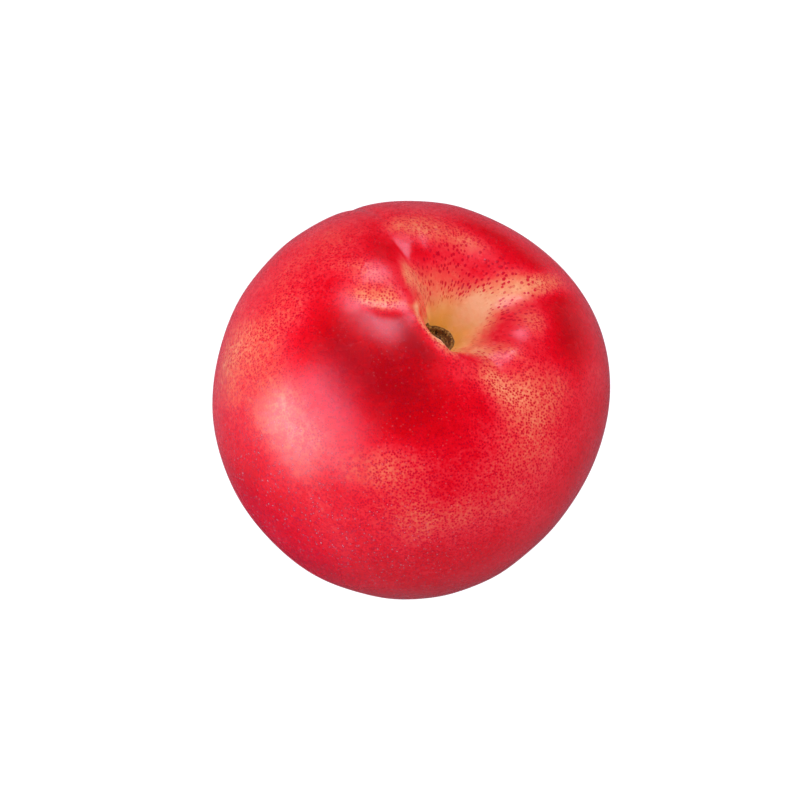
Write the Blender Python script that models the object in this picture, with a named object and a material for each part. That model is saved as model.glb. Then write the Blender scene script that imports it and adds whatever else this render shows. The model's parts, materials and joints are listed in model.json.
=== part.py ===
"""Nectarine: one whole fruit, resting on the small flat spot of its underside.

Metres, +Z up. The origin is the middle of the bounding box's underside. The fruit's own axis runs from the
blossom end up to the stem scar, and leans towards +X as the fruit rests. Azimuths are degrees round that
axis, counted from the leaning side.
"""

import math

import bmesh
import bpy
from mathutils import Matrix, Vector

# The whole fruit
MEAN_RADIUS = 0.03355
AXIS_LEAN = math.radians(12.6)
FLAT_SPOT_DEPTH = 0.0009
SLICE_SNAP = 0.0001

# Side profile: how much each harmonic of the angle from the stem adds to the mean radius
PROFILE_HARMONICS = {2: -0.055, 3: -0.022, 4: -0.0184}
# Plan outline: harmonic of the azimuth, its share of the radius, and the azimuth of its crest
OUTLINE_HARMONICS = {2: (0.0165, 57), 3: (0.011, 28), 4: (0.0055, 15)}

# Stem hollow: its depth, and round it the azimuth, width in metres and steepness of each stretch of wall
HOLLOW_DEPTH = 0.010
HOLLOW_WALLS = [
    (-75, 0.0053, 2.6),
    (-40, 0.0066, 2.0),
    (-5, 0.0086, 1.8),
    (32, 0.0116, 1.6),
    (75, 0.0112, 1.8),
    (104, 0.0092, 2.0),
    (132, 0.0051, 2.1),
    (165, 0.0040, 2.6),
    (200, 0.00345, 3.3),
    (250, 0.0038, 3.3),
]

# Creases over the shoulder, each starting at the hollow: azimuth 10 mm from the axis, turn per metre
# outwards, depth, half width, where it starts, is deepest and ends, and the sharpness of its section
SUTURE_CREASE = (122, -100, 0.0012, 0.0019, 0.0025, 0.008, 0.026, 1.3)
BACK_CREASE = (-44, -800, 0.0006, 0.0026, 0.006, 0.011, 0.022, 1.8)
RIGHT_VALLEY = (38, -1200, 0.0007, 0.004, 0.006, 0.016, 0.030, 2.0)
LEFT_FOLD = (176, -300, 0.0008, 0.0024, 0.004, 0.011, 0.020, 2.0)
CREASE_REFERENCE = 0.010

# Swellings between the creases: azimuth, distance from the axis, height and half width
SWELLINGS = [(152, 0.015, 0.0007, 0.0055), (217, 0.0125, 0.0006, 0.006), (-14, 0.0145, 0.0004, 0.007)]

# The suture's shallow groove down the side: azimuth, depth, half width, and the angles from the stem
# between which it fades in and out
SUTURE_AZIMUTH = 116
SUTURE_DEPTH = 0.00025
SUTURE_HALF_WIDTH = 0.0013
SUTURE_FADES = (25, 50, 150, 176)

# Mesh: segments round the axis, rings along it, and how much closer the rings stand near the stem
SEGMENTS = 72
RINGS = 44
RING_CROWDING = 0.55

STEM_SCAR_RADIUS = 0.003
GOLDEN_RADIUS = 0.008


def ease(low, high, value):
    """Smooth step from 0 at low to 1 at high."""
    share = min(max((value - low) / (high - low), 0.0), 1.0)
    return share * share * (3 - 2 * share)


def turn_between(azimuth, reference):
    """Signed turn in radians from one azimuth to another, both in degrees."""
    return math.radians((azimuth - reference + 180) % 360 - 180)


def wall_at(azimuth):
    """Width and steepness of the hollow's wall at an azimuth, blended between the listed stretches."""
    first = HOLLOW_WALLS[0]
    walls = HOLLOW_WALLS + [(first[0] + 360, first[1], first[2])]
    azimuth = (azimuth - first[0]) % 360 + first[0]
    for before, after in zip(walls, walls[1:]):
        if azimuth <= after[0]:
            break
    share = ease(before[0], after[0], azimuth)
    width = before[1] + share * (after[1] - before[1])
    steepness = before[2] + share * (after[2] - before[2])
    return width, steepness


def crease_depth(crease, azimuth, distance):
    """Depth of one crease at a point given by its azimuth and its distance from the axis."""
    middle, turn, depth, half_width, start, deepest, end, sharpness = crease
    away = turn_between(azimuth, middle + turn * (distance - CREASE_REFERENCE))
    along = distance * math.cos(away)
    across = distance * math.sin(away)
    run = ease(start, deepest, along) * (1 - ease(deepest, end, along))
    return depth * run * math.exp(-((abs(across) / half_width) ** sharpness))


def swelling_height(swelling, azimuth, distance):
    """Height of one rounded swelling, a bell over its own middle."""
    middle, reach, height, half_width = swelling
    away = turn_between(azimuth, middle)
    gap_squared = distance**2 + reach**2 - 2 * distance * reach * math.cos(away)
    return height * math.exp(-gap_squared / half_width**2)


def body_point(polar, azimuth):
    """Point of the plain body, a globe with a blunt profile and a slightly lobed outline."""
    radius = MEAN_RADIUS * (1 + sum(k * math.cos(n * polar) for n, k in PROFILE_HARMONICS.items()))
    lobes = sum(
        share * math.cos(n * turn_between(azimuth, crest))
        for n, (share, crest) in OUTLINE_HARMONICS.items()
    )
    distance = radius * math.sin(polar) * (1 + lobes * math.sin(polar) ** 2)
    return distance, radius * math.cos(polar)


def suture_groove(polar, azimuth, distance):
    """Depth of the suture's groove down the side."""
    away = turn_between(azimuth, SUTURE_AZIMUTH)
    if abs(away) > math.pi / 2:
        return 0.0
    fade_in, full, fading, gone = (math.radians(angle) for angle in SUTURE_FADES)
    run = ease(fade_in, full, polar) * (1 - ease(fading, gone, polar))
    across = abs(distance * math.sin(away))
    return SUTURE_DEPTH * run * math.exp(-((across / SUTURE_HALF_WIDTH) ** 1.6))


def fruit_point(polar, azimuth):
    """Point of the finished skin about the fruit's upright axis."""
    distance, height = body_point(polar, azimuth)
    if polar < math.pi / 2:
        width, steepness = wall_at(azimuth)
        height -= HOLLOW_DEPTH * math.exp(-((distance / width) ** steepness))
        for crease in (SUTURE_CREASE, BACK_CREASE, RIGHT_VALLEY, LEFT_FOLD):
            height -= crease_depth(crease, azimuth, distance)
        for swelling in SWELLINGS:
            height += swelling_height(swelling, azimuth, distance)
    inset = 1 - suture_groove(polar, azimuth, distance) / MEAN_RADIUS
    turn = math.radians(azimuth)
    return Vector((distance * math.cos(turn), distance * math.sin(turn), height)) * inset


def crowd_rings(polar):
    """Angle from the stem of a ring after crowding the rings towards the stem."""
    share = polar / math.pi
    return math.pi * ((1 - RING_CROWDING) * share + RING_CROWDING * share**2)


def shape_fruit(mesh):
    """Move a sphere's vertices onto the fruit's skin, and lean the whole about +Y."""
    lean = Matrix.Rotation(AXIS_LEAN, 3, "Y")
    for vertex in mesh.verts:
        direction = vertex.co.normalized()
        polar = crowd_rings(math.acos(max(-1.0, min(1.0, direction.z))))
        azimuth = math.degrees(math.atan2(direction.y, direction.x))
        vertex.co = lean @ fruit_point(polar, azimuth)


def seat_fruit(mesh):
    """Slice the underside flat, fill the slice with one face, and put the origin under the box's middle."""
    floor = min(vertex.co.z for vertex in mesh.verts) + FLAT_SPOT_DEPTH
    everything = mesh.verts[:] + mesh.edges[:] + mesh.faces[:]
    bmesh.ops.bisect_plane(
        mesh, geom=everything, dist=SLICE_SNAP, plane_co=(0, 0, floor), plane_no=(0, 0, -1), clear_outer=True
    )
    rim = [edge for edge in mesh.edges if edge.is_boundary]
    bmesh.ops.edgeloop_fill(mesh, edges=rim)
    bmesh.ops.recalc_face_normals(mesh, faces=mesh.faces)
    low = [min(vertex.co[axis] for vertex in mesh.verts) for axis in range(3)]
    high = [max(vertex.co[axis] for vertex in mesh.verts) for axis in range(3)]
    middle = Vector(((low[0] + high[0]) / 2, (low[1] + high[1]) / 2, floor))
    for vertex in mesh.verts:
        vertex.co -= middle
        if vertex.co.z < SLICE_SNAP:
            vertex.co.z = 0.0


def skin_material(name, colour, roughness):
    """One plain finish of the fruit's skin."""
    material = bpy.data.materials.new(name)
    material.use_nodes = True
    shader = material.node_tree.nodes["Principled BSDF"]
    shader.inputs["Base Color"].default_value = (*colour, 1.0)
    shader.inputs["Roughness"].default_value = roughness
    shader.inputs["Metallic"].default_value = 0.0
    return material


def paint_regions(mesh, axis_top):
    """Give the scar, the golden wall round it and the red skin their own material slots."""
    for face in mesh.faces:
        offset = face.calc_center_median() - axis_top
        if offset.z < -GOLDEN_RADIUS:
            continue
        reach = math.hypot(offset.x, offset.y)
        if reach < STEM_SCAR_RADIUS:
            face.material_index = 2
        elif reach < GOLDEN_RADIUS:
            face.material_index = 1


def build_nectarine(collection):
    """Model the fruit as one closed solid in a node of its own."""
    mesh = bmesh.new()
    bmesh.ops.create_uvsphere(mesh, u_segments=SEGMENTS, v_segments=RINGS, radius=MEAN_RADIUS)
    mesh.verts.ensure_lookup_table()
    pole = max(mesh.verts, key=lambda vertex: vertex.co.z)
    shape_fruit(mesh)
    seat_fruit(mesh)
    paint_regions(mesh, pole.co.copy())
    data = bpy.data.meshes.new("nectarine")
    mesh.to_mesh(data)
    mesh.free()
    data.shade_smooth()
    data.materials.append(skin_material("red_skin", (0.55, 0.015, 0.03), 0.35))
    data.materials.append(skin_material("golden_wall", (0.80, 0.36, 0.10), 0.40))
    data.materials.append(skin_material("stem_scar", (0.14, 0.05, 0.02), 0.80))
    fruit = bpy.data.objects.new("nectarine", data)
    collection.objects.link(fruit)
    return fruit


def main():
    """Clear the scene and build the fruit in its own collection."""
    for item in list(bpy.data.objects):
        bpy.data.objects.remove(item, do_unlink=True)
    collection = bpy.data.collections.new("Nectarine")
    bpy.context.scene.collection.children.link(collection)
    build_nectarine(collection)


main()
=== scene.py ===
"""Looks of one whole nectarine, resting on the flat spot of its underside.

The fruit is a surface over two parameters, the angle from the stem and the azimuth round the fruit's own
axis. Metres, +Z up. Azimuths are degrees counted from the side the axis leans to, so the front is at -90
and the left side at 180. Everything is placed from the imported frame, and the fruit stands in for the plain
solid of the same shape.
"""

import json
import logging
import math
from dataclasses import dataclass
from enum import Enum

import bpy
import numpy as np
from mathutils import Matrix, Vector


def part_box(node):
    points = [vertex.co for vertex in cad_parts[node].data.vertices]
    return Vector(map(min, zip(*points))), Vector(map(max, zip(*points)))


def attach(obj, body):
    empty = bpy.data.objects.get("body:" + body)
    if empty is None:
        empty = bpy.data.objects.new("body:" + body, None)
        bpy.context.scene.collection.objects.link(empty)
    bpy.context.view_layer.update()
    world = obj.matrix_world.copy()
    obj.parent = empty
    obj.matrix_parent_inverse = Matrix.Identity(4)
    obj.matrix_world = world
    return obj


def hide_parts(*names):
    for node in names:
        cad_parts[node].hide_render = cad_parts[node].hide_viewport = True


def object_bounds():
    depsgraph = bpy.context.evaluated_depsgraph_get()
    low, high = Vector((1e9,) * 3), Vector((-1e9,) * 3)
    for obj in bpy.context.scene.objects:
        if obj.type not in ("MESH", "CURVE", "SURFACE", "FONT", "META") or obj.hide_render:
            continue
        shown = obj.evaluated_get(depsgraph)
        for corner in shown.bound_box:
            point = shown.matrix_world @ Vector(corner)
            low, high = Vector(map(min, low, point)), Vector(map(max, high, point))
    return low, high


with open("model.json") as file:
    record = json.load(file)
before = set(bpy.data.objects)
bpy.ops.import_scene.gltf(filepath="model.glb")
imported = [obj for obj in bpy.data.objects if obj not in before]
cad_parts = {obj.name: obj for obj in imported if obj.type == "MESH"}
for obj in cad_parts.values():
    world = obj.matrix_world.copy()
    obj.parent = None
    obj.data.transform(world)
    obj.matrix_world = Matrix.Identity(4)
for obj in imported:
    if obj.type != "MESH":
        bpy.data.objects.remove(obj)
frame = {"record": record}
SOLID_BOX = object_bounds()

LOG = logging.getLogger("nectarine")
MM = 0.001

Span = tuple[float, float]
Wave = tuple[int, float, float]
Colour = tuple[float, float, float]
Socket = bpy.types.NodeSocket


class Field(Enum):
    """Values that the skin carries at each of its vertices for the finish to read."""

    BLUSH = "blush"
    GOLD = "gold"
    SCAR = "scar"
    STREAKING = "streaking"
    DOTS = "dots"
    PORES_AND_GLINTS = "pores_and_glints"
    FLOW = "flow"


# ---------------------------------------------------------------------------------------------- form


def ease(low: float, high: float, value: np.ndarray) -> np.ndarray:
    """Smooth step, 3 s^2 - 2 s^3, of the share s of the way from low to high.

    Args:
        low: Value where the step is 0.
        high: Value where the step is 1.
        value: Values to place on the step.

    Returns:
        The step's height at each value.
    """
    share = np.clip((value - low) / (high - low), 0.0, 1.0)
    return share * share * (3.0 - 2.0 * share)


def turn_between(azimuth: np.ndarray, reference: np.ndarray | float) -> np.ndarray:
    """Signed turn in radians from a reference azimuth to others, all azimuths in degrees."""
    return np.radians((azimuth - reference + 180.0) % 360.0 - 180.0)


def ripple(angle: np.ndarray, waves: tuple[Wave, ...]) -> np.ndarray:
    """Sum of strength * sin(count * angle + phase), over waves listed as count, strength and phase."""
    return sum(strength * np.sin(count * angle + phase) for count, strength, phase in waves)


@dataclass(frozen=True)
class Crease:
    """A furrow that runs outwards over the shoulder from the stem hollow.

    It passes its azimuth at the reference distance from the axis, and swings round by its turn, in degrees
    for each metre outwards.
    """

    azimuth: float
    turn: float
    depth: float
    half_width: float
    start: float
    deepest: float
    end: float
    sharpness: float
    reference: float = 10 * MM

    def depth_at(self, azimuth: np.ndarray, distance: np.ndarray) -> np.ndarray:
        """Depth: a step up and down along the furrow, times exp(-|across / half width|^sharpness).

        Args:
            azimuth: Azimuths in degrees.
            distance: Distances from the fruit's axis.

        Returns:
            How far the furrow lowers each point.
        """
        away = turn_between(azimuth, self.azimuth + self.turn * (distance - self.reference))
        along = distance * np.cos(away)
        across = np.abs(distance * np.sin(away))
        run = ease(self.start, self.deepest, along) * (1.0 - ease(self.deepest, self.end, along))
        return self.depth * run * np.exp(-((across / self.half_width) ** self.sharpness))


@dataclass(frozen=True)
class Swelling:
    """A rounded rise of the shoulder beside a crease, its middle at a reach from the axis."""

    azimuth: float
    reach: float
    height: float
    half_width: float

    def height_at(self, azimuth: np.ndarray, distance: np.ndarray) -> np.ndarray:
        """Height: a bell, exp(-gap^2 / half width^2), of the gap to the swelling's middle.

        Args:
            azimuth: Azimuths in degrees.
            distance: Distances from the fruit's axis.

        Returns:
            How far the swelling lifts each point.
        """
        away = turn_between(azimuth, self.azimuth)
        gap_squared = distance**2 + self.reach**2 - 2.0 * distance * self.reach * np.cos(away)
        return self.height * np.exp(-gap_squared / self.half_width**2)


@dataclass(frozen=True)
class StemHollow:
    """The lopsided funnel round the stem scar: steep on the near side, open on the far one.

    Its widths, in millimetres, and its steepnesses are listed for its azimuths.
    """

    depth: float = 10 * MM
    azimuths: tuple[float, ...] = (-75, -40, -5, 32, 75, 104, 132, 165, 200, 250)
    widths: tuple[float, ...] = (5.3, 6.6, 8.6, 11.6, 11.2, 9.2, 5.1, 4.0, 3.45, 3.8)
    steepness: tuple[float, ...] = (2.6, 2.0, 1.8, 1.6, 1.8, 2.0, 2.1, 2.6, 3.3, 3.3)

    def around(self, values: tuple[float, ...], azimuth: np.ndarray) -> np.ndarray:
        """Values listed at the hollow's azimuths, blended between neighbours by a smooth step.

        Args:
            values: One value for each of the hollow's azimuths.
            azimuth: Azimuths in degrees.

        Returns:
            The blended value at each azimuth.
        """
        first = self.azimuths[0]
        stops = np.array(self.azimuths + (first + 360.0,))
        listed = np.array(values + (values[0],))
        turned = (azimuth - first) % 360.0 + first
        before = np.clip(np.searchsorted(stops, turned, side="right") - 1, 0, len(values) - 1)
        share = ease(0.0, 1.0, (turned - stops[before]) / (stops[before + 1] - stops[before]))
        return listed[before] * (1.0 - share) + listed[before + 1] * share

    def drop(self, azimuth: np.ndarray, distance: np.ndarray) -> np.ndarray:
        """Depth: full depth times exp(-(distance / width)^steepness), both set by the azimuth.

        Args:
            azimuth: Azimuths in degrees.
            distance: Distances from the fruit's axis.

        Returns:
            How far the hollow lowers each point.
        """
        width = self.around(self.widths, azimuth) * MM
        steepness = self.around(self.steepness, azimuth)
        return self.depth * np.exp(-((distance / width) ** steepness))


@dataclass(frozen=True)
class StemScar:
    """The corky disc where the stalk broke away: a crusty ring, a moat and a ribbed mound.

    Reaches, slopes and fades are shares of its radius.
    """

    radius: float = 2.95 * MM
    ring_reach: float = 0.86
    ring_height: float = 0.20 * MM
    ring_half_width: float = 0.32 * MM
    ring_wander: tuple[Wave, ...] = ((3, 0.03, 0.0), (8, 0.015, 1.5))
    plain_teeth: float = 0.6
    teeth: tuple[Wave, ...] = ((17, 0.25, 1.0), (41, 0.15, 2.0))
    moat_reach: float = 0.62
    moat_half_width: float = 0.17
    moat_depth: float = 0.55 * MM
    plain_moat: float = 0.65
    moat_waves: tuple[Wave, ...] = ((1, 0.35, -0.6),)
    mound_height: float = 0.35 * MM
    mound_slope: Span = (0.25, 0.75)
    grain_height: float = 0.07 * MM
    grain_fade: Span = (0.8, 1.0)
    rib_step: float = 0.09 * MM
    notch_step: float = 0.35 * MM
    notch_depth: float = 0.4

    def relief(self, across: np.ndarray, along: np.ndarray) -> np.ndarray:
        """Height of the scar: a toothed ring, a moat inside it and a ribbed mound in the middle.

        Args:
            across: First coordinate on the scar, from its middle.
            along: Second coordinate on the scar, from its middle.

        Returns:
            How far the scar stands above the hollow's floor at each point.
        """
        distance = np.hypot(across, along)
        share = distance / self.radius
        angle = np.arctan2(along, across)
        ring_gap = distance - self.radius * (self.ring_reach + ripple(angle, self.ring_wander))
        ring = self.ring_height * (self.plain_teeth + ripple(angle, self.teeth))
        ring *= np.exp(-((ring_gap / self.ring_half_width) ** 2))
        moat = self.moat_depth * np.exp(-(((share - self.moat_reach) / self.moat_half_width) ** 2))
        moat *= self.plain_moat + ripple(angle, self.moat_waves)
        mound = self.mound_height * (1.0 - ease(*self.mound_slope, share))
        notches = 1.0 - self.notch_depth + self.notch_depth * np.sin(along / self.notch_step)
        ribs = np.sin(across / self.rib_step) * notches
        grain = self.grain_height * (1.0 - ease(*self.grain_fade, share)) * ribs
        return ring - moat + mound + grain


@dataclass(frozen=True)
class BlossomEnd:
    """The dry point at the foot of the fruit where the flower sat."""

    dimple_depth: float = 0.5 * MM
    dimple_half_width: float = 2.6 * MM
    point_height: float = 0.35 * MM
    point_half_width: float = 0.5 * MM

    def inset(self, distance: np.ndarray) -> np.ndarray:
        """Inset: a wide shallow bell less a narrow one for the dry point in its middle."""
        dimple = self.dimple_depth * np.exp(-((distance / self.dimple_half_width) ** 2))
        return dimple - self.point_height * np.exp(-((distance / self.point_half_width) ** 2))


@dataclass(frozen=True)
class FruitForm:
    """The whole fruit's surface, as a function of the angle from the stem and the azimuth."""

    mean_radius: float = 33.55 * MM
    axis_lean: float = math.radians(12.6)
    profile: tuple[tuple[int, float], ...] = ((2, -0.055), (3, -0.022), (4, -0.0184))
    outline: tuple[tuple[int, float, float], ...] = ((2, 0.0165, 57), (3, 0.011, 28), (4, 0.0055, 15))
    flat_depth: float = 0.9 * MM
    flat_softness: float = 0.12 * MM
    unevenness: float = 0.05 * MM
    uneven_seed: int = 7
    uneven_waves: int = 8
    uneven_lengths: Span = (9 * MM, 20 * MM)
    even_near_stem: Span = (4 * MM, 9 * MM)
    hollow: StemHollow = StemHollow()
    scar: StemScar = StemScar()
    blossom_end: BlossomEnd = BlossomEnd()
    creases: tuple[Crease, ...] = (
        # The suture's fold, the shallow fold at the front right, the valley and the small fold on the left.
        Crease(122, -100, 1.2 * MM, 1.9 * MM, 2.5 * MM, 8 * MM, 26 * MM, 1.3),
        Crease(-44, -800, 0.6 * MM, 2.6 * MM, 6 * MM, 11 * MM, 22 * MM, 1.8),
        Crease(38, -1200, 0.7 * MM, 4.0 * MM, 6 * MM, 16 * MM, 30 * MM, 2.0),
        Crease(176, -300, 0.8 * MM, 2.4 * MM, 4 * MM, 11 * MM, 20 * MM, 2.0),
    )
    swellings: tuple[Swelling, ...] = (
        # Left of the suture, the near bulge below the lip, and the bulge on the right.
        Swelling(152, 15 * MM, 0.7 * MM, 5.5 * MM),
        Swelling(217, 12.5 * MM, 0.6 * MM, 6 * MM),
        Swelling(-14, 14.5 * MM, 0.4 * MM, 7 * MM),
    )
    suture_azimuth: float = 116
    suture_depth: float = 0.25 * MM
    suture_half_width: float = 1.3 * MM
    suture_sharpness: float = 1.6
    suture_start: Span = (25, 50)
    suture_end: Span = (150, 176)
    pole_gap: float = 1e-6

    def body(self, polar: np.ndarray, azimuth: np.ndarray) -> tuple[np.ndarray, np.ndarray]:
        """Plain body: a radius of harmonics of the polar angle, with an outline of harmonics round it.

        Args:
            polar: Angles from the stem in radians.
            azimuth: Azimuths in degrees.

        Returns:
            Distance from the axis and height along it, for each point.
        """
        radius = self.mean_radius * (1.0 + sum(k * np.cos(n * polar) for n, k in self.profile))
        lobes = sum(k * np.cos(n * turn_between(azimuth, crest)) for n, k, crest in self.outline)
        distance = radius * np.sin(polar) * (1.0 + lobes * np.sin(polar) ** 2)
        return distance, radius * np.cos(polar)

    def suture(self, polar: np.ndarray, azimuth: np.ndarray, distance: np.ndarray) -> np.ndarray:
        """Groove down the side: depth times exp(-|across / half width|^sharpness), faded at both ends.

        Args:
            polar: Angles from the stem in radians.
            azimuth: Azimuths in degrees.
            distance: Distances from the fruit's axis.

        Returns:
            Depth of the groove at each point.
        """
        away = turn_between(azimuth, self.suture_azimuth)
        degrees = np.degrees(polar)
        run = ease(*self.suture_start, degrees) * (1.0 - ease(*self.suture_end, degrees))
        run = run * (np.cos(away) > 0.0)
        across = np.abs(distance * np.sin(away))
        groove = np.exp(-((across / self.suture_half_width) ** self.suture_sharpness))
        return self.suture_depth * run * groove

    def uneven(self, points: np.ndarray) -> np.ndarray:
        """Slow unevenness: a sum of sine waves along directions drawn by chance, the same each time.

        Args:
            points: Points of the plain skin.

        Returns:
            How far each point stands out.
        """
        chance = np.random.default_rng(self.uneven_seed)
        total = np.zeros(points.shape[:-1])
        for _ in range(self.uneven_waves):
            direction = chance.normal(size=3)
            direction /= np.linalg.norm(direction)
            wave = 2.0 * math.pi / chance.uniform(*self.uneven_lengths)
            total += np.sin(points @ direction * wave + chance.uniform(0, 6))
        return self.unevenness * total / 2.0

    def surface(self, polar: np.ndarray, azimuth: np.ndarray) -> np.ndarray:
        """Skin about the upright axis: the body, lowered by the hollow and creases, raised by swellings.

        Args:
            polar: Angles from the stem in radians.
            azimuth: Azimuths in degrees.

        Returns:
            Points of the skin, with the axis along +Z.
        """
        distance, height = self.body(polar, azimuth)
        turn = np.radians(azimuth)
        top = polar < math.pi / 2
        lowered = self.hollow.drop(azimuth, distance)
        lowered = lowered + sum(crease.depth_at(azimuth, distance) for crease in self.creases)
        raised = sum(swelling.height_at(azimuth, distance) for swelling in self.swellings)
        raised = raised + self.scar.relief(distance * np.cos(turn), distance * np.sin(turn))
        height = height + np.where(top, raised - lowered, self.blossom_end.inset(distance))
        inset = 1.0 - self.suture(polar, azimuth, distance) / self.mean_radius
        plain = np.stack([distance * np.cos(turn), distance * np.sin(turn), height], axis=-1)
        inset = inset + self.uneven(plain) * ease(*self.even_near_stem, distance) / self.mean_radius
        return plain * inset[..., None]

    def poles(self) -> np.ndarray:
        """The two points where the skin closes, at the stem and at the foot."""
        return self.surface(np.array([self.pole_gap, math.pi - self.pole_gap]), np.zeros(2))

    def stand(self, points: np.ndarray) -> np.ndarray:
        """Lean the axis towards +X and flatten the underside softly where it rests.

        Args:
            points: Points with the axis along +Z.

        Returns:
            The points as the fruit stands, the lowest at height 0.
        """
        leaned = points @ np.array(Matrix.Rotation(self.axis_lean, 3, "Y").transposed())
        above = (leaned[..., 2] - leaned[..., 2].min() - self.flat_depth) / self.flat_softness
        leaned[..., 2] = self.flat_softness * np.logaddexp(0.0, above)
        leaned[..., 2] -= leaned[..., 2].min()
        return leaned


# --------------------------------------------------------------------------------------------- blush


@dataclass(frozen=True)
class Patch:
    """One soft patch at a place on the fruit, with all of its angles and sizes in degrees.

    Its strength is what it adds in the middle, below 0 where it takes away. The slant turns it, and a
    higher edge gives its sides a sharper fall.
    """

    polar: float
    azimuth: float
    tall: float
    wide: float
    strength: float
    slant: float = 0.0
    edge: float = 2.0

    def weight(self, polar: np.ndarray, azimuth: np.ndarray) -> np.ndarray:
        """Bell: strength * exp(-(a^2 + |b|^edge)), a and b the slanted steps over its height and width.

        Args:
            polar: Angles from the stem in degrees.
            azimuth: Azimuths in degrees.

        Returns:
            What the patch adds at each point.
        """
        down = polar - self.polar
        across = np.degrees(turn_between(azimuth, self.azimuth)) * np.sin(np.radians(polar))
        lean = math.radians(self.slant)
        tall = (down * math.cos(lean) + across * math.sin(lean)) / self.tall
        wide = (across * math.cos(lean) - down * math.sin(lean)) / self.wide
        return self.strength * np.exp(-(tall**2 + np.abs(wide) ** self.edge))


@dataclass(frozen=True)
class Blush:
    """Where the red colour lies thick or thin over the golden ground, less where a pale line along the near
    lip and a few pale patches are painted highlights.

    Depths are shares of the hollow's depth. Pores lie thickest in their own patches, and the plain patches
    have few dots. The pores' pale cores and purple dots stand partly for the skin's lenticels and partly for
    painted glints and sheen where the highlights fall.
    """

    base: float = 0.96
    flushed: tuple[Patch, ...] = (
        # Front, from the near lip down over the bulge.
        Patch(16, -134, 3.5, 20, 0.30),
        Patch(19, -118, 5, 8, 0.15),
        Patch(30, -118, 7, 9, 0.14),
        Patch(31, -130, 14, 26, 0.38),
        Patch(31, -66, 4, 5, 0.14),
        Patch(86, -143, 9, 9, 0.10),
        # Right shoulder.
        Patch(24, 24, 5, 4, 0.16),
        Patch(40, 6, 9, 13, 0.34),
        # Back, beside the suture and along the rim.
        Patch(26, 114, 4, 5, 0.22),
        Patch(28, 130, 7, 7, 0.10),
        Patch(30, 135, 9, 3.4, 0.10, -31),
        Patch(41, 62, 7, 20, 0.20),
        # Left shoulder.
        Patch(37, 173, 5, 6, 0.14),
        Patch(38, -164, 9, 14, 0.22),
        Patch(60, 171, 9, 8, 0.30),
    )
    # Patches that take red away: mostly bare skin, but some are painted highlights, marked below.
    bare_and_painted_highlights: tuple[Patch, ...] = (
        # Front, from the near lip down over the bulge.
        # Painted highlight: these two pale patches carry the pale line of the near lip round to the right.
        Patch(11.5, -102, 2.5, 4.0, -0.40),
        Patch(14, -90, 3.2, 4.5, -0.40),
        Patch(19, -84, 7, 8, -0.28),
        Patch(47, -105, 5, 9, -0.34),
        Patch(52, -113, 4, 9, -0.24),
        Patch(54, -62, 14, 16, -0.20),
        Patch(56, -119, 4, 6, -0.12),
        Patch(58, -146, 11, 15, -0.46),
        Patch(62, -93, 8, 17, -0.30),
        # Painted highlight: paler skin at the foot of the left softbox's highlight.
        Patch(66, -128, 6, 8, -0.12),
        Patch(76, -112, 9, 14, -0.07),
        # Right shoulder, with the pale streak along the valley.
        Patch(13, 30, 4, 8, -0.38),
        Patch(14, -42, 5, 4, -0.70),
        Patch(14, 48, 5, 4, -0.35),
        Patch(20, -26, 6, 4, -0.38),
        Patch(20, 39, 10, 6.0, -0.68, 0, 3.2),
        Patch(25, -56, 6.5, 5, -0.52),
        Patch(27, 10, 6, 8, -0.52),
        Patch(30, 38, 6, 4.2, -0.34),
        Patch(31, -50, 4, 5, -0.12),
        Patch(32, -38, 5, 6, -0.20),
        Patch(38, -47, 12, 13, -0.40),
        Patch(38, 32, 10, 4.2, -0.66, 0, 2.6),
        Patch(40, -23, 6, 7, -0.24),
        Patch(52, -9, 7, 9, -0.18),
        # Back, with the pale line along the suture.
        Patch(14, 126, 7, 5, -0.55),
        Patch(18, 100, 8, 12, -0.28),
        Patch(19, 134, 11, 1.6, -0.30, -35),
        Patch(22, 90, 4, 7, -0.06),
        Patch(31, 70, 5, 8, -0.14),
        Patch(32, 77, 5, 8, -0.30),
        Patch(33, 103, 6, 7, -0.30),
        Patch(37, 114, 4, 4, -0.20),
        Patch(40, 95, 10, 12, -0.20),
        Patch(46, 60, 5, 8, -0.18),
        Patch(46, 138, 14, 20, -0.20),
        # Left shoulder, with the pale streak along the small fold.
        Patch(14, 174, 5, 2.8, -0.34),
        Patch(18, 163, 4, 3.5, -0.36),
        Patch(24, 175, 10, 3.6, -0.58, -12, 2.4),
        # Painted highlight: paler skin that stands for the sheen on the upper left bulge.
        Patch(27, 155, 8, 6, -0.40),
        Patch(35, 178, 4, 5, -0.16),
        Patch(44, 178, 5, 7, -0.16),
        Patch(60, 178, 16, 15, -0.46),
        # Painted highlight: paler skin near the left rim, where the left softbox's highlight runs out to the
        # edge.
        Patch(72, -165, 7, 8, -0.05),
        Patch(76, -172, 12, 16, -0.28),
        # Low on the right and at the back, and underneath.
        Patch(120, 60, 40, 50, -0.30),
        Patch(140, -30, 30, 70, -0.18),
    )
    pore_and_glint_base: float = 0.07
    pores_and_glints: tuple[Patch, ...] = (
        # Pores and painted glints: these patches lie where the highlights and sheens fall.
        Patch(84, -130, 27, 42, 0.9),
        Patch(22, -152, 7, 12, 0.20),
        Patch(42, 10, 9, 30, 0.08),
        Patch(42, 60, 7, 18, 0.10),
        Patch(28, 132, 6, 9, 0.10),
        Patch(88, -85, 16, 30, 0.12),
    )
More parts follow.
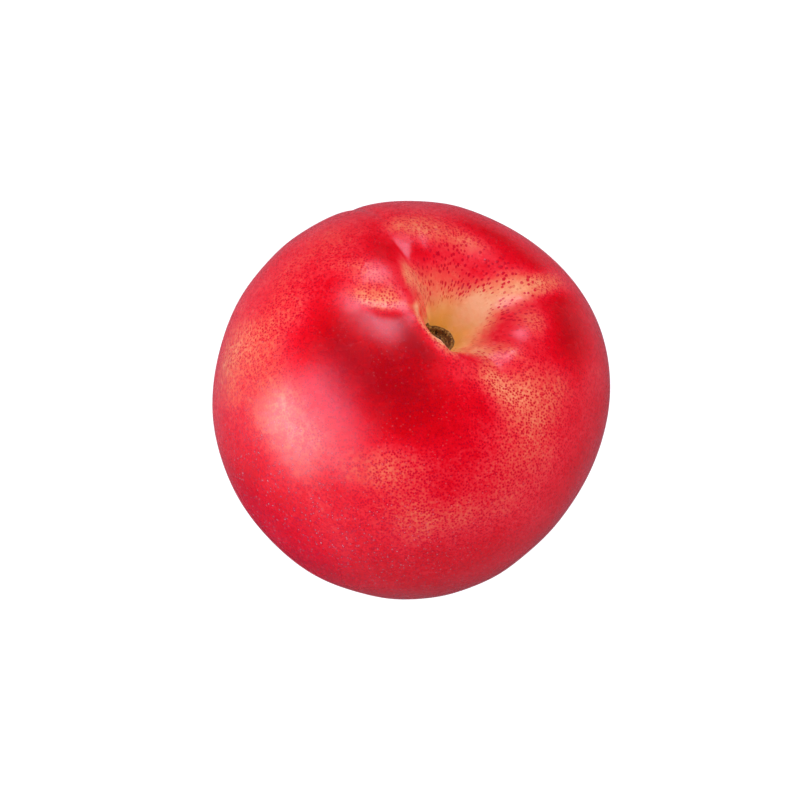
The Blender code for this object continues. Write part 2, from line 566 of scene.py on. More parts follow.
    # Painted highlight: a pale band along the near lip's edge, on the front side only.
    painted_lip_highlight_distance: float = 5.3 * MM
    painted_lip_highlight_width: float = 0.70 * MM
    painted_lip_highlight_azimuth: float = 225
    painted_lip_highlight_facing: Span = (-0.2, 0.6)
    painted_lip_highlight_paleness: float = 0.66
    bare_depth: Span = (0.15, 0.85)
    gold_strength: float = 0.90
    gold_depth: Span = (0.50, 0.92)
    streaked_depth: Span = (0.03, 0.16)
    dotted_red: Span = (0.02, 0.30)
    plain: tuple[Patch, ...] = (
        Patch(14, -2, 6, 8, 0.85),
        Patch(22, 130, 12, 4.5, 0.85, -31),
        Patch(10, 172, 6, 5, 0.6),
    )

    def amount(
        self, polar: np.ndarray, azimuth: np.ndarray, distance: np.ndarray, hollow: np.ndarray
    ) -> np.ndarray:
        """Amount of red: the base plus every patch, less a painted highlight as a pale line along the near
        lip, none in the hollow.

        Args:
            polar: Angles from the stem in radians.
            azimuth: Azimuths in degrees.
            distance: Distances from the fruit's axis.
            hollow: Share of the hollow's depth at each point.

        Returns:
            Amount of red, from 0 on bare ground to about 1.5 where it is darkest.
        """
        degrees = np.degrees(polar)
        total = self.base + sum(patch.weight(degrees, azimuth) for patch in self.flushed + self.bare_and_painted_highlights)
        # Painted highlight along the near lip: red taken away in a band at the lip's distance, on the front
        # side.
        lip_highlight_band = np.exp(-(((distance - self.painted_lip_highlight_distance) / self.painted_lip_highlight_width) ** 2))
        lip_highlight_side = ease(*self.painted_lip_highlight_facing, np.cos(turn_between(azimuth, self.painted_lip_highlight_azimuth)))
        total = total - self.painted_lip_highlight_paleness * lip_highlight_band * lip_highlight_side
        return np.maximum(total, 0.0) * (1.0 - ease(*self.bare_depth, hollow))

    def pores_and_glints_strength(self, polar: np.ndarray, azimuth: np.ndarray) -> np.ndarray:
        """Strength of the pale pores and purple dots, partly lenticels and partly painted glints and sheen:
        a little everywhere, more in the patches.

        Args:
            polar: Angles from the stem in radians.
            azimuth: Azimuths in degrees.

        Returns:
            Strength of the pores and of their painted glints, from 0 to 1.
        """
        degrees = np.degrees(polar)
        total = self.pore_and_glint_base + sum(patch.weight(degrees, azimuth) for patch in self.pores_and_glints)
        return np.clip(total, 0.0, 1.0)

    def dotting(self, polar: np.ndarray, azimuth: np.ndarray, red: np.ndarray) -> np.ndarray:
        """Share of the dots that show: fewer on bare ground and in the plain patches.

        Args:
            polar: Angles from the stem in radians.
            azimuth: Azimuths in degrees.
            red: Amount of red at each point.

        Returns:
            Strength of the dots, from 0 to 1.
        """
        degrees = np.degrees(polar)
        kept = 1.0 - sum(patch.weight(degrees, azimuth) for patch in self.plain)
        return ease(*self.dotted_red, red) * np.clip(kept, 0.0, 1.0)

    def gilding(self, hollow: np.ndarray) -> np.ndarray:
        """Share of plain golden skin, by the share of the hollow's depth."""
        return self.gold_strength * ease(*self.gold_depth, hollow)

    def streaking(self, hollow: np.ndarray) -> np.ndarray:
        """Share of the dots that are drawn out towards the stem, by the share of the hollow's depth."""
        return ease(*self.streaked_depth, hollow)


# ------------------------------------------------------------------------------------------- finishes


class Board:
    """A node tree with short ways to add nodes and join them."""

    def __init__(self, tree: bpy.types.NodeTree) -> None:
        """Take over a node tree."""
        self.tree = tree

    def add(self, kind: str, **settings: object) -> bpy.types.Node:
        """Add a node and set its properties.

        Args:
            kind: The node's type, without its ShaderNode prefix.
            **settings: Properties of the node.

        Returns:
            The new node.
        """
        node = self.tree.nodes.new(kind if kind.startswith("NodeGroup") else "ShaderNode" + kind)
        for name, value in settings.items():
            setattr(node, name, value)
        return node

    def feed(self, socket: Socket, value: object) -> None:
        """Join a socket to an output, or set its plain value.

        Args:
            socket: Input to feed.
            value: Output, number, vector, or colour as red, green and blue.
        """
        if isinstance(value, bpy.types.NodeSocket):
            self.tree.links.new(value, socket)
        elif socket.type == "RGBA":
            socket.default_value = (*value, 1.0)
        else:
            socket.default_value = value

    def math(self, operation: str, *values: object) -> Socket:
        """One Math node on the values given.

        Args:
            operation: The node's operation.
            *values: Outputs or numbers for its inputs, in order.

        Returns:
            Its result.
        """
        node = self.add("Math", operation=operation)
        for socket, value in zip(node.inputs, values):
            self.feed(socket, value)
        return node.outputs[0]

    def times(self, first: object, second: object) -> Socket:
        """Product of two outputs or numbers."""
        return self.math("MULTIPLY", first, second)

    def stir(self, amount: object, noise: object, strength: float) -> Socket:
        """Amount moved up and down by a noise value: amount + strength * (noise - 0.5)."""
        return self.math("MULTIPLY_ADD", self.math("SUBTRACT", noise, 0.5), strength, amount)

    def span(
        self, value: object, low: object, high: object, start: float = 0.0, end: float = 1.0
    ) -> Socket:
        """Value carried from low and high to start and end by a smooth step.

        Args:
            value: Output to carry over.
            low: Input that gives start.
            high: Input that gives end.
            start: Result at low.
            end: Result at high.

        Returns:
            The result's output.
        """
        node = self.add("MapRange", interpolation_type="SMOOTHSTEP")
        for name, given in (("Value", value), ("From Min", low), ("From Max", high)):
            self.feed(node.inputs[name], given)
        self.feed(node.inputs["To Min"], start)
        self.feed(node.inputs["To Max"], end)
        return node.outputs["Result"]

    def noise(self, vector: object, size: float, detail: float = 2.0, rough: float = 0.5) -> Socket:
        """Noise whose features are about the given size.

        Args:
            vector: Coordinates in metres.
            size: Size of a feature in metres.
            detail: Number of finer layers.
            rough: Strength of the finer layers.

        Returns:
            The noise value, from 0 to 1.
        """
        node = self.add("TexNoise")
        self.feed(node.inputs["Vector"], vector)
        node.inputs["Scale"].default_value = 1.0 / size
        node.inputs["Detail"].default_value = detail
        node.inputs["Roughness"].default_value = rough
        return node.outputs["Fac"]

    def mix(self, share: object, first: object, second: object) -> Socket:
        """Mix of two colours.

        Args:
            share: Share of the second colour.
            first: Colour or output at share 0.
            second: Colour or output at share 1.

        Returns:
            The mixed colour.
        """
        node = self.add("Mix", data_type="RGBA")
        named = {socket.identifier: socket for socket in node.inputs}
        self.feed(named["Factor_Float"], share)
        self.feed(named["A_Color"], first)
        self.feed(named["B_Color"], second)
        return next(socket for socket in node.outputs if socket.identifier == "Result_Color")

    def ramp(self, value: object, stops: tuple[tuple[float, Colour], ...]) -> Socket:
        """Colour ramp with the stops given.

        Args:
            value: Output that picks the place on the ramp.
            stops: Places from 0 to 1 and their colours.

        Returns:
            The picked colour.
        """
        node = self.add("ValToRGB")
        elements = node.color_ramp.elements
        for place, _ in stops[2:]:
            elements.new(place)
        for element, (place, colour) in zip(elements, stops):
            element.position = place
            element.color = (*colour, 1.0)
        self.feed(node.inputs["Fac"], value)
        return node.outputs["Color"]

    def attribute(self, field: Field, output: str = "Fac") -> Socket:
        """Value that the mesh carries at its vertices."""
        return self.add("Attribute", attribute_name=field.value).outputs[output]

    def group(self, tree: bpy.types.NodeTree, **values: object) -> bpy.types.Node:
        """Place a node group with its own values.

        Args:
            tree: The group's node tree.
            **values: Outputs or numbers for the group's inputs, by name.

        Returns:
            The placed node.
        """
        node = self.add("Group", node_tree=tree)
        for name, value in values.items():
            self.feed(node.inputs[name], value)
        return node


@dataclass(frozen=True)
class Speckles:
    """Round dots of varied size with a small core, one for each cell near the surface.

    A dot is where the distance to the nearest cell's middle is under a radius that varies from cell to
    cell. The cells are nudged by fine noise, so no dot is a perfect circle. The gap is the part of a cell
    far from its middle, which makes a net between the dots.
    """

    scatter: float = 0.8
    nudge: float = 0.30
    nudge_scale: float = 2.2
    least_size: float = 0.75
    size_range: float = 0.5
    dot_edge: Span = (0.65, 1.2)
    net: Span = (0.40, 0.75)

    def group(self) -> bpy.types.NodeTree:
        """Build the node group.

        Returns:
            The group, with inputs Vector, Spacing, Radius and Core, and outputs Dot, Core and Gap.
        """
        tree = bpy.data.node_groups.new("speckles", "ShaderNodeTree")
        for name in ("Vector", "Spacing", "Radius", "Core"):
            kind = "Vector" if name == "Vector" else "Float"
            tree.interface.new_socket(name=name, in_out="INPUT", socket_type=f"NodeSocket{kind}")
        for name in ("Dot", "Core", "Gap"):
            tree.interface.new_socket(name=name, in_out="OUTPUT", socket_type="NodeSocketFloat")
        board = Board(tree)
        given = board.add("NodeGroupInput").outputs
        distance, chance = self.cells(board, given["Vector"], given["Spacing"])
        size = board.math("MULTIPLY_ADD", chance, self.size_range, self.least_size)
        out = board.add("NodeGroupOutput").inputs
        inner, outer = self.dot_edge
        for name, source in (("Dot", "Radius"), ("Core", "Core")):
            radius = board.times(given[source], size)
            spot = board.span(distance, board.times(radius, inner), board.times(radius, outer), 1.0, 0.0)
            board.feed(out[name], spot)
        board.feed(out["Gap"], board.span(distance, *self.net))
        return tree

    def cells(self, board: Board, place: Socket, spacing: Socket) -> tuple[Socket, Socket]:
        """Cells with scattered middles, nudged by noise.

        Args:
            board: The group's nodes.
            place: Coordinates.
            spacing: Spacing of the cells, in the unit of the coordinates.

        Returns:
            Distance to the nearest cell's middle, in spacings, and that cell's own random number.
        """
        scaled = board.add("VectorMath", operation="SCALE")
        board.feed(scaled.inputs[0], place)
        board.feed(scaled.inputs["Scale"], board.math("DIVIDE", 1.0, spacing))
        noise = board.add("TexNoise")
        board.feed(noise.inputs["Vector"], scaled.outputs[0])
        noise.inputs["Scale"].default_value = self.nudge_scale
        nudged = board.add("VectorMath", operation="MULTIPLY_ADD")
        board.feed(nudged.inputs[0], noise.outputs["Color"])
        nudged.inputs[1].default_value = (self.nudge, self.nudge, self.nudge)
        board.feed(nudged.inputs[2], scaled.outputs[0])
        cells = board.add("TexVoronoi", feature="F1", voronoi_dimensions="3D")
        board.feed(cells.inputs["Vector"], nudged.outputs[0])
        cells.inputs["Scale"].default_value = 1.0
        cells.inputs["Randomness"].default_value = self.scatter
        chance = board.add("SeparateColor")
        board.feed(chance.inputs[0], cells.outputs["Color"])
        return cells.outputs["Distance"], chance.outputs[0]


@dataclass(frozen=True)
class CorkFinish:
    """The stem scar's dry cork: brown rings with pale crumbs, dark pits and a dark ragged outline that is
    painted shade of a gap round its edge.

    The bands are shares of the way from the scar's middle to its rim, which the scar's field holds.
    """

    dark: Colour = (0.030, 0.012, 0.003)
    brown: Colour = (0.19, 0.070, 0.012)
    pale: Colour = (0.62, 0.34, 0.09)
    grain_size: float = 0.28 * MM
    rings: float = 30.0
    drift: float = 12.0
    drift_size: float = 0.9 * MM
    ridges: Span = (0.1, 1.0)
    crumbs: Span = (0.42, 0.62)
    pits: Span = (0.38, 0.50)
    pit_size: float = 0.45 * MM
    crust: Span = (0.40, 0.60)
    crust_band: Span = (0.80, 0.88)
    crust_strength: float = 0.55
    raggedness: float = 0.10
    shaded_gap_band: Span = (0.93, 0.97)
    shaded_gap_strength: float = 0.8
    rim_band: Span = (0.97, 1.02)

    def paint(self, board: Board, place: Socket) -> tuple[Socket, Socket]:
        """Colour of the stem scar and where it lies.

        Args:
            board: The material's nodes.
            place: Coordinates on the fruit in metres.

        Returns:
            The scar's colour and its mask.
        """
        share = board.attribute(Field.SCAR)
        grain = board.noise(place, self.grain_size, detail=4.0, rough=0.7)
        turns = board.stir(board.times(share, self.rings), board.noise(place, self.drift_size), self.drift)
        ridges = board.span(board.math("SINE", turns), *self.ridges)
        crumbs = board.times(ridges, board.span(grain, *self.crumbs))
        colour = board.mix(crumbs, self.brown, self.pale)
        pits = board.span(board.noise(place, self.pit_size), *self.pits)
        colour = board.mix(pits, self.dark, colour)
        crust = board.times(board.span(share, *self.crust_band), board.span(grain, *self.crust))
        colour = board.mix(board.times(crust, self.crust_strength), colour, self.pale)
        ragged = board.stir(share, grain, self.raggedness)
        # Painted shade: a dark ragged band just inside the scar's rim, as of a shaded gap.
        outline = board.times(board.span(ragged, *self.shaded_gap_band), self.shaded_gap_strength)
        colour = board.mix(outline, colour, self.dark)
        return colour, board.span(ragged, *self.rim_band, 1.0, 0.0)


@dataclass(frozen=True)
class SkinFinish:
    """Waxy skin: a golden ground under red blush, with dark speckles, pale pores that are partly painted
    glints, and radial streaks.

    The blush ramp's stops are shares of the amount of red at the ramp's end. Radii and cores of dots are
    shares of their spacing.
    """

    blush_ramp: tuple[tuple[float, Colour], ...] = (
        (0.00, (0.95, 0.44, 0.25)),
        (0.12, (0.92, 0.30, 0.16)),
        (0.25, (0.90, 0.17, 0.10)),
        (0.38, (0.88, 0.070, 0.060)),
        (0.50, (0.87, 0.020, 0.038)),
        (0.62, (0.81, 0.002, 0.013)),
        (0.78, (0.66, 0.000, 0.005)),
        (1.00, (0.42, 0.000, 0.004)),
    )
    ramp_end: float = 1.45
    gold: Colour = (0.84, 0.37, 0.044)
    dot_red: Colour = (0.54, 0.002, 0.026)
    # Purple of the dots where pores lie thick: partly their own purple halo, partly a painted violet sheen.
    purple_dot_and_sheen: Colour = (0.38, 0.000, 0.095)
    # Pale pore cores: partly pale lenticels, partly painted glints.
    pore_and_glint: Colour = (0.95, 0.58, 0.64)
    cloud_size: float = 7 * MM
    cloud_strength: float = 0.42
    mottle_size: float = 0.9 * MM
    mottle_strength: float = 0.45
    fine_spacing: float = 0.43 * MM
    fine_radius: float = 0.34
    fine_core: float = 0.13
    fine_core_strength: float = 0.2
    fine_lost_to_pores: float = 0.6
    pore_spacing: float = 0.74 * MM
    pore_radius: float = 0.32
    pore_core: float = 0.15
    streak_radius: float = 0.33
    dotless_red: float = 1.35
    least_room: float = 0.25
    dot_strength: float = 0.62
    gap_strength: float = 0.24
    dot_tint: float = 1.1
    most_dot_tint: float = 0.45
    pore_and_glint_tint: float = 0.70
    specular: float = 0.45
    wax_size: float = 3 * MM
    wax_spread: Span = (0.3, 0.7)
    wax_roughness: Span = (0.24, 0.30)
    cork_roughness: float = 0.8
    pore_dip: float = 0.5
    grain_size: float = 0.5 * MM
    bump_height: float = 0.035 * MM
    bump_strength: float = 0.8
    cork: CorkFinish = CorkFinish()

    def speckled(
        self, board: Board, place: Socket, speckles: bpy.types.NodeTree
    ) -> tuple[Socket, Socket, Socket]:
        """Dots, the gaps between them and the pores' pale cores, which are partly painted glints.

        Round dots, finer where there are no pores, turn into streaks along the flow towards the stem. Dots
        and gaps fade where the skin is nearly as red as a dot.

        Args:
            board: The material's nodes.
            place: Coordinates on the fruit in metres.
            speckles: The speckle group.

        Returns:
            The masks of the dots, of the gaps and of the cores.
        """
        fine = board.group(
            speckles,
            Vector=place,
            Spacing=self.fine_spacing,
            Radius=self.fine_radius,
            Core=self.fine_core,
        ).outputs
        wide = board.group(
            speckles,
            Vector=place,
            Spacing=self.pore_spacing,
            Radius=self.pore_radius,
            Core=self.pore_core,
        ).outputs
        flow = board.attribute(Field.FLOW, "Vector")
        drawn = board.group(speckles, Vector=flow, Spacing=1.0, Radius=self.streak_radius).outputs
        streaked = board.attribute(Field.STREAKING)
        pores_and_glints_share = board.attribute(Field.PORES_AND_GLINTS)
        shown = board.attribute(Field.DOTS)
        unstreaked = board.math("SUBTRACT", 1.0, streaked)
        finer = board.times(fine["Dot"], board.math("MULTIPLY_ADD", pores_and_glints_share, -self.fine_lost_to_pores, 1.0))
        dots = board.times(board.math("MAXIMUM", finer, board.times(wide["Dot"], pores_and_glints_share)), unstreaked)
        dots = board.math("MULTIPLY_ADD", drawn["Dot"], streaked, dots)
        gaps = board.times(fine["Gap"], unstreaked)
        cores = board.math("MAXIMUM", wide["Core"], board.times(fine["Core"], self.fine_core_strength))
        cores = board.times(cores, pores_and_glints_share)
        room = board.math("SUBTRACT", self.dotless_red, board.attribute(Field.BLUSH))
        shown_room = board.times(shown, board.math("MAXIMUM", room, self.least_room))
        return board.times(dots, shown_room), board.times(gaps, shown_room), board.times(cores, shown)

    def red(self, board: Board, place: Socket, dots: Socket, gaps: Socket) -> Socket:
        """Amount of red: the blush with clouds and mottling, more on the dots and less between them.

        Args:
            board: The material's nodes.
            place: Coordinates on the fruit in metres.
            dots: Mask of the dots.
            gaps: Mask of the gaps between them.

        Returns:
            Amount of red, on the scale of the blush.
        """
        clouds = board.noise(place, self.cloud_size, detail=3.0, rough=0.55)
        mottle = board.noise(place, self.mottle_size, detail=3.0, rough=0.65)
        amount = board.stir(board.attribute(Field.BLUSH), clouds, self.cloud_strength)
        amount = board.stir(amount, mottle, self.mottle_strength)
        amount = board.math("MULTIPLY_ADD", dots, self.dot_strength, amount)
        return board.math("MULTIPLY_ADD", gaps, -self.gap_strength, amount)

    def relief(self, board: Board, place: Socket, dots: Socket, pores_and_glints: Socket) -> Socket:
        """Normal of the skin: dots stand a little proud, pores are sunk, and a fine grain lies over all.

        Args:
            board: The material's nodes.
            place: Coordinates on the fruit in metres.
            dots: Mask of the dots.
            pores_and_glints: Mask of the pores, whose pale cores are also painted glints.

        Returns:
            The normal.
        """
        rise = board.math("MULTIPLY_ADD", pores_and_glints, -self.pore_dip, dots)
        rise = board.math("ADD", board.noise(place, self.grain_size, detail=3.0), rise)
        bump = board.add("Bump")
        bump.inputs["Strength"].default_value = self.bump_strength
        bump.inputs["Distance"].default_value = self.bump_height
        board.feed(bump.inputs["Height"], rise)
        return bump.outputs["Normal"]

    def material(self, name: str, speckles: bpy.types.NodeTree) -> bpy.types.Material:
        """Build the skin's material.

        Args:
            name: Name of the material.
            speckles: The speckle group.

        Returns:
            The material.
        """
        material = bpy.data.materials.new(name)
        material.use_nodes = True
        board = Board(material.node_tree)
        shader = material.node_tree.nodes["Principled BSDF"]
        shader.inputs["Specular IOR Level"].default_value = self.specular
        place = board.add("TexCoord").outputs["Object"]
        dots, gaps, pores_and_glints = self.speckled(board, place, speckles)
        amount = board.math("DIVIDE", self.red(board, place, dots, gaps), self.ramp_end)
        # Painted sheen: dots turn purple where the pores and glints lie thick.
        dot = board.mix(board.attribute(Field.PORES_AND_GLINTS), self.dot_red, self.purple_dot_and_sheen)
        tint = board.math("MINIMUM", board.times(dots, self.dot_tint), self.most_dot_tint)
        colour = board.mix(tint, board.ramp(amount, self.blush_ramp), dot)
        colour = board.mix(board.attribute(Field.GOLD), colour, self.gold)
        # Painted glints: pale pore cores, partly real lenticels.
        colour = board.mix(board.times(pores_and_glints, self.pore_and_glint_tint), colour, self.pore_and_glint)
        cork, scar = self.cork.paint(board, place)
        board.feed(shader.inputs["Base Color"], board.mix(scar, colour, cork))
        wax = board.noise(place, self.wax_size, detail=3.0)
        wax = board.span(wax, *self.wax_spread, *self.wax_roughness)
        roughness = board.math("MAXIMUM", wax, board.times(scar, self.cork_roughness))
        board.feed(shader.inputs["Roughness"], roughness)
        board.feed(shader.inputs["Normal"], self.relief(board, place, dots, pores_and_glints))
        return material


@dataclass(frozen=True)
class FloorFinish:
    """Matt paper that looks white, and lights the fruit no more than grey paper would.

    A darker patch at the front left is a painted shadow of the fruit on the paper: it keeps the paper's pale
    reflection off the lower skin.
    """

    colour: Colour = (0.19, 0.195, 0.25)
    # Colour of the painted shadow at the front left.
    painted_shadow: Colour = (0.050, 0.045, 0.11)
    painted_shadow_middle: tuple[float, float, float] = (-46 * MM, -32 * MM, 0.0)
    painted_shadow_core: float = 15 * MM
    painted_shadow_reach: float = 42 * MM
    roughness: float = 0.9
    glow: float = 0.96

    def material(self, name: str) -> bpy.types.Material:
        """Build the floor's material: grey paper with a painted shadow as a darker patch, which glows white
        when it is seen.

        Args:
            name: Name of the material.

        Returns:
            The material.
        """
        material = bpy.data.materials.new(name)
        material.use_nodes = True
        shader = material.node_tree.nodes["Principled BSDF"]
        shader.inputs["Roughness"].default_value = self.roughness
        shader.inputs["Emission Color"].default_value = (1.0, 1.0, 1.0, 1.0)
        board = Board(material.node_tree)
        away = board.add("VectorMath", operation="DISTANCE")
        board.feed(away.inputs[0], board.add("TexCoord").outputs["Object"])
        away.inputs[1].default_value = self.painted_shadow_middle
        # Painted shadow: darker paper round a point at the front left, seen in the skin's reflection.
        outside_painted_shadow = board.span(away.outputs["Value"], self.painted_shadow_core, self.painted_shadow_reach)
        board.feed(shader.inputs["Base Color"], board.mix(outside_painted_shadow, self.painted_shadow, self.colour))
        seen = board.add("LightPath").outputs["Is Camera Ray"]
        board.feed(shader.inputs["Emission Strength"], board.times(seen, self.glow))
        return material


# ------------------------------------------------------------------------------------------ assembly


@dataclass
class Nectarine:
    """The whole fruit: one closed surface with its finish.

    The rings lie closest together in the stem scar and close in the hollow: the ring at each of the listed
    shares of the way from stem to foot lies at the listed angle in degrees. The streaks of the hollow are
    dots on coordinates that flow towards the stem.
    """

    form: FruitForm = FruitForm()
    blush: Blush = Blush()
    finish: SkinFinish = SkinFinish()
    segments: int = 384
    ring_shares: tuple[float, ...] = (0.0, 0.19, 0.48, 1.0)
    ring_angles: tuple[float, ...] = (0.0, 6.0, 24.0, 180.0)
    rings: int = 224
    streaks_round: float = 22.0
    streak_length: float = 0.9 * MM

    def grid(self) -> tuple[np.ndarray, np.ndarray]:
        """Angles of the grid, rings by segments.

        Returns:
            Polar angles in radians and azimuths in degrees.
        """
        share = np.linspace(0.0, 1.0, self.rings + 2)[1:-1]
        polar = np.radians(np.interp(share, self.ring_shares, self.ring_angles))
        azimuth = np.arange(self.segments) * 360.0 / self.segments
        return np.meshgrid(polar, azimuth, indexing="ij")

    def faces(self) -> tuple[np.ndarray, np.ndarray]:
        """Quads between the rings and triangles round both poles, all facing outwards.

        Returns:
            Quads and triangles as rows of vertex numbers. The stem's pole is the first vertex and the
            foot's pole the last.
        """
        ring = np.arange(self.rings - 1)[:, None] * self.segments + 1
        here = np.arange(self.segments)[None, :]
        after = (here + 1) % self.segments
        quads = np.stack(
            [ring + here, ring + here + self.segments, ring + after + self.segments, ring + after], axis=-1
        )
        last = self.rings * self.segments + 1
        low = last - self.segments
        stem = np.stack([0 * here[0], here[0] + 1, after[0] + 1], axis=-1)
        foot = np.stack([0 * here[0] + last, low + after[0], low + here[0]], axis=-1)
        return quads.reshape(-1, 4), np.concatenate([stem, foot])

    def build(self, solid: str) -> bpy.types.Object:
        """Make the mesh and place it where the plain solid stands.

        Args:
            solid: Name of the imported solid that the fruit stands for.

        Returns:
            The fruit's object.
        """
        polar, azimuth = self.grid()
        skin = self.form.surface(polar, azimuth).reshape(-1, 3)
        stem, foot = self.form.poles()
        points = self.form.stand(np.concatenate([[stem], skin, [foot]]))
        low, high = (np.array(corner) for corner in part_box(solid))
        shift = (low + high) / 2.0 - (points.min(axis=0) + points.max(axis=0)) / 2.0
        shift[2] = low[2]
        points += shift
        quads, triangles = self.faces()
        mesh = bpy.data.meshes.new("nectarine_skin")
        mesh.from_pydata(points, [], quads.tolist() + triangles.tolist())
        mesh.polygons.foreach_set("use_smooth", np.ones(len(mesh.polygons), dtype=bool))
        self.record(mesh, polar.ravel(), azimuth.ravel())
        fruit = bpy.data.objects.new("nectarine_skin", mesh)
        bpy.context.scene.collection.objects.link(fruit)
        return fruit

    def record(self, mesh: bpy.types.Mesh, polar: np.ndarray, azimuth: np.ndarray) -> None:
        """Write the skin's fields to the mesh, each worked out at every vertex.

        The scar's field is the share of the way from its middle to its rim, 2 from there on.

        Args:
            mesh: The fruit's mesh.
            polar: Angles from the stem in radians, ring by ring.
            azimuth: Azimuths in degrees, ring by ring.
        """
        polar = np.concatenate([[0.0], polar, [math.pi]])
        azimuth = np.concatenate([[0.0], azimuth, [0.0]])
        distance, _ = self.form.body(polar, azimuth)
        hollow = self.form.hollow.drop(azimuth, distance) / self.form.hollow.depth
        hollow = hollow * (polar < math.pi / 2)
        red = self.blush.amount(polar, azimuth, distance, hollow)
        turn = np.radians(azimuth)
        around = self.streaks_round * np.stack([np.cos(turn), np.sin(turn)])
        from_scar = np.minimum(distance / self.form.scar.radius, 2.0)
        values = {
            # The blush field also carries painted highlights: the pale line along the near lip and a few
            # pale patches.
            Field.BLUSH: red,
            Field.GOLD: self.blush.gilding(hollow),
            Field.SCAR: np.where(polar < math.pi / 2, from_scar, 2.0),
            Field.STREAKING: self.blush.streaking(hollow),
            Field.DOTS: self.blush.dotting(polar, azimuth, red),
            Field.PORES_AND_GLINTS: self.blush.pores_and_glints_strength(polar, azimuth),
            Field.FLOW: np.stack([*around, distance / self.streak_length], axis=-1),
        }
        for field, value in values.items():
            kind, slot = ("FLOAT_VECTOR", "vector") if value.ndim == 2 else ("FLOAT", "value")
            layer = mesh.attributes.new(field.value, kind, "POINT")
            layer.data.foreach_set(slot, value.astype(np.float32).ravel())

    def dress(self, fruit: bpy.types.Object, speckles: bpy.types.NodeTree) -> None:
        """Give the fruit its skin."""
        fruit.data.materials.append(self.finish.material("nectarine_skin", speckles))


# -------------------------------------------------------------------------------------------- studio


class Duty(Enum):
    """What a light is hung for: to show in the skin's gloss, or only to brighten its own colour."""

    GLOSS = "gloss"
    FILL = "fill"


@dataclass(frozen=True)
class Softbox:
    """One soft rectangular light that faces the fruit: angles in degrees, lengths in metres, watts."""

    name: str
    azimuth: float
    elevation: float
    distance: float
    width: float
    height: float
    power: float
    duty: Duty
    colour: Colour = (1.0, 1.0, 1.0)

    def build(self, target: Vector) -> bpy.types.Object:
        """Hang the light in its direction from the fruit and turn it to face the fruit.

        Args:
            target: Point that the light faces.

        Returns:
            The light's object.
        """
        light = bpy.data.lights.new(self.name, "AREA")
        light.shape = "RECTANGLE"
        light.size = self.width
        light.size_y = self.height
        light.energy = self.power
        light.color = self.colour
        light.cycles.use_multiple_importance_sampling = False
        lamp = bpy.data.objects.new(self.name, light)
        bpy.context.scene.collection.objects.link(lamp)
        turn, rise = math.radians(self.azimuth), math.radians(self.elevation)
        away = Vector((math.cos(turn) * math.cos(rise), math.sin(turn) * math.cos(rise), math.sin(rise)))
        lamp.visible_glossy = self.duty is Duty.GLOSS
        lamp.visible_diffuse = self.duty is Duty.FILL
        lamp.location = target + away * self.distance
        lamp.rotation_euler = away.to_track_quat("Z", "Y").to_euler()
        return lamp


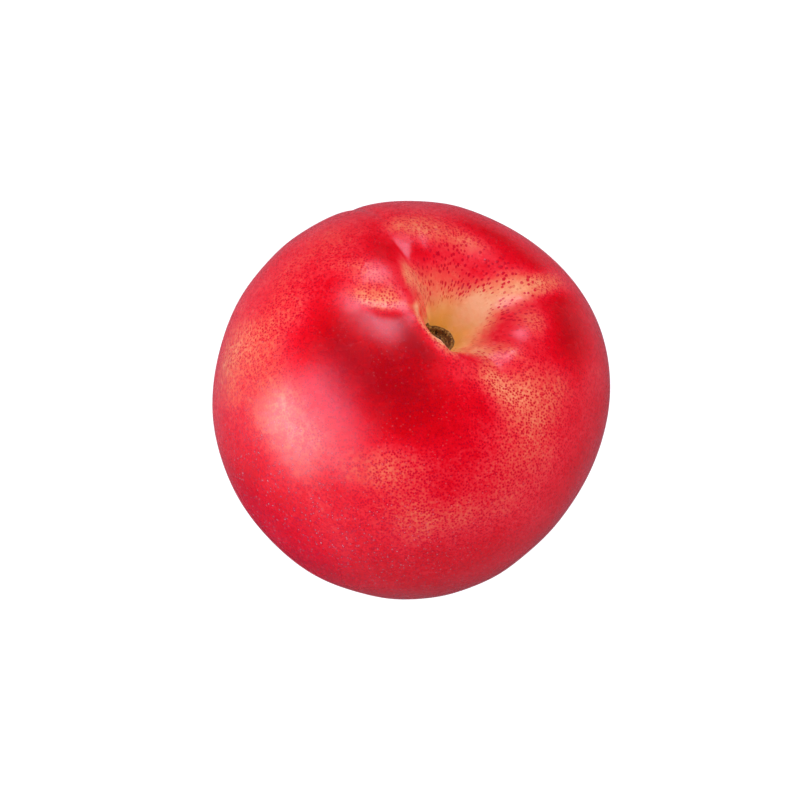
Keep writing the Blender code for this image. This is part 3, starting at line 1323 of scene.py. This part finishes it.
@dataclass
class Studio:
    """Pale floor and backdrop, soft lights, a dim room and the camera that looks down on the fruit."""

    softboxes: tuple[Softbox, ...] = (
        Softbox("left_softbox", -160, 12, 0.60, 0.41, 0.44, 2.85, Duty.GLOSS, (0.97, 0.97, 1.03)),
        Softbox("left_scrim", -150, 36, 0.60, 0.50, 0.46, 1.5, Duty.GLOSS, (0.86, 0.90, 1.24)),
        Softbox("upper_scrim", -157, 57, 0.60, 0.34, 0.26, 0.36, Duty.GLOSS, (0.72, 0.80, 1.50)),
        Softbox("back_softbox", 82, 54, 0.60, 0.25, 0.31, 1.10, Duty.GLOSS, (0.88, 0.92, 1.26)),
        Softbox("left_fill", -172, 10, 0.80, 0.60, 0.60, 6.1, Duty.FILL),
        Softbox("front_fill", -90, 36, 1.20, 1.20, 1.20, 11.2, Duty.FILL),
        Softbox("right_fill", 0, 26, 1.20, 1.20, 1.20, 7.8, Duty.FILL),
        Softbox("back_fill", 95, 44, 1.20, 1.20, 1.20, 11.5, Duty.FILL),
    )
    floor_finish: FloorFinish = FloorFinish()
    floor_half: float = 1.5
    surroundings: float = 0.02
    backdrop: float = 0.78
    elevation: float = math.radians(60.0)
    camera_distance: float = 0.391
    focal_length: float = 100.0
    sensor_width: float = 36.0
    left_of_middle: float = 2.02 * MM
    above_middle: float = 0.50 * MM

    def build(self) -> None:
        """Make the floor, the surroundings, the lights and the camera."""
        low, high = (Vector(corner) for corner in SOLID_BOX)
        middle = (low + high) / 2.0
        self.lay_floor(low.z)
        self.close_room()
        for softbox in self.softboxes:
            softbox.build(middle)
        self.place_camera(middle)

    def lay_floor(self, height: float) -> None:
        """Lay one large square of paper.

        Args:
            height: Height that the fruit rests on.
        """
        half = self.floor_half
        mesh = bpy.data.meshes.new("floor")
        corners = [(x, y, height) for x, y in ((-half, -half), (half, -half), (half, half), (-half, half))]
        mesh.from_pydata(corners, [], [(0, 1, 2, 3)])
        mesh.materials.append(self.floor_finish.material("floor_paper"))
        floor = bpy.data.objects.new("floor", mesh)
        bpy.context.scene.collection.objects.link(floor)

    def close_room(self) -> None:
        """Leave the room beyond the lights almost dark, with a pale backdrop that lights nothing."""
        world = bpy.data.worlds.new("studio_room")
        world.use_nodes = True
        board = Board(world.node_tree)
        background = world.node_tree.nodes["Background"]
        background.inputs["Color"].default_value = (1.0, 1.0, 1.0, 1.0)
        seen = board.add("LightPath").outputs["Is Camera Ray"]
        strength = board.span(seen, 0.0, 1.0, self.surroundings, self.backdrop)
        board.feed(background.inputs["Strength"], strength)
        bpy.context.scene.world = world
        bpy.context.scene.view_settings.view_transform = "Standard"

    def place_camera(self, middle: Vector) -> None:
        """Set the camera above and in front, its axis towards a point beside the fruit's middle.

        Args:
            middle: Middle of the fruit's box.
        """
        right = Vector((1.0, 0.0, 0.0))
        back = Vector((0.0, -math.cos(self.elevation), math.sin(self.elevation)))
        up = back.cross(right)
        aim = middle - right * self.left_of_middle + up * self.above_middle
        lens = bpy.data.cameras.new("camera")
        lens.lens = self.focal_length
        lens.sensor_width = self.sensor_width
        camera = bpy.data.objects.new("camera", lens)
        bpy.context.scene.collection.objects.link(camera)
        camera.location = aim + back * self.camera_distance
        camera.rotation_euler = Matrix((right, up, back)).transposed().to_euler()
        bpy.context.scene.camera = camera


def main() -> None:
    """Build the fruit, dress it, tie it to the frame, and set up the studio round it."""
    logging.basicConfig(level=logging.INFO, format="%(message)s")
    part = frame["record"]["subparts"][0]
    speckles = Speckles().group()
    nectarine = Nectarine()
    fruit = nectarine.build(part["node"])
    nectarine.dress(fruit, speckles)
    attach(fruit, "root")
    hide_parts(part["node"])
    LOG.info("built %s with %d faces", fruit.name, len(fruit.data.polygons))
    Studio().build()
    LOG.info("set the studio")


if __name__ == "__main__":
    main()
